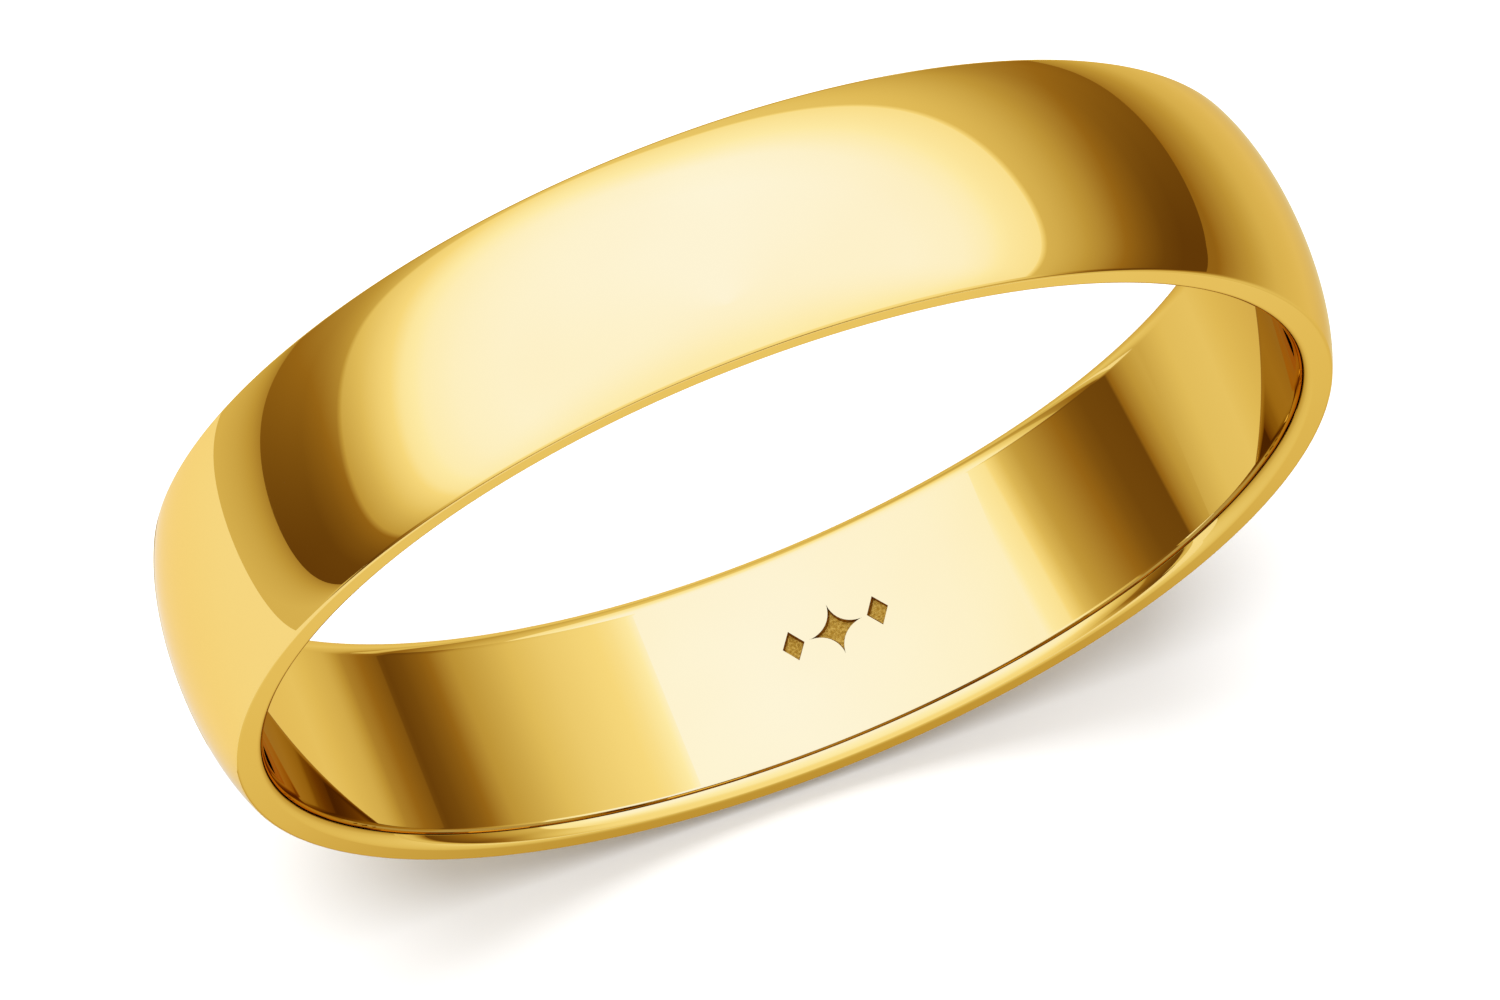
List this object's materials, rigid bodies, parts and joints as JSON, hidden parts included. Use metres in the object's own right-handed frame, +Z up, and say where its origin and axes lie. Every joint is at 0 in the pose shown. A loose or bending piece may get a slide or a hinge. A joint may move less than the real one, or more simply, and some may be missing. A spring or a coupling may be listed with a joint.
{
  "type": "wedding band",
  "caption": "Plain polished yellow-gold wedding band, domed outside and flat inside, with narrow side faces, eased inner edges and a small engraved ornament in the bore.",
  "frame": {"origin": "centre of the ring, halfway along the finger axis", "axes": "+Z up with the ring standing on its rim, Y along the finger axis, X across the ring; the engraving is inside, beside the ring's lowest point towards +X"},
  "size_m": [0.02, 0.004, 0.02],
  "materials": {
    "polished_gold": "mirror polished yellow gold, with a frosted floor in the engraving"
  },
  "bodies": {
    "root": {"band": "polished_gold"}
  },
  "joints": []
}
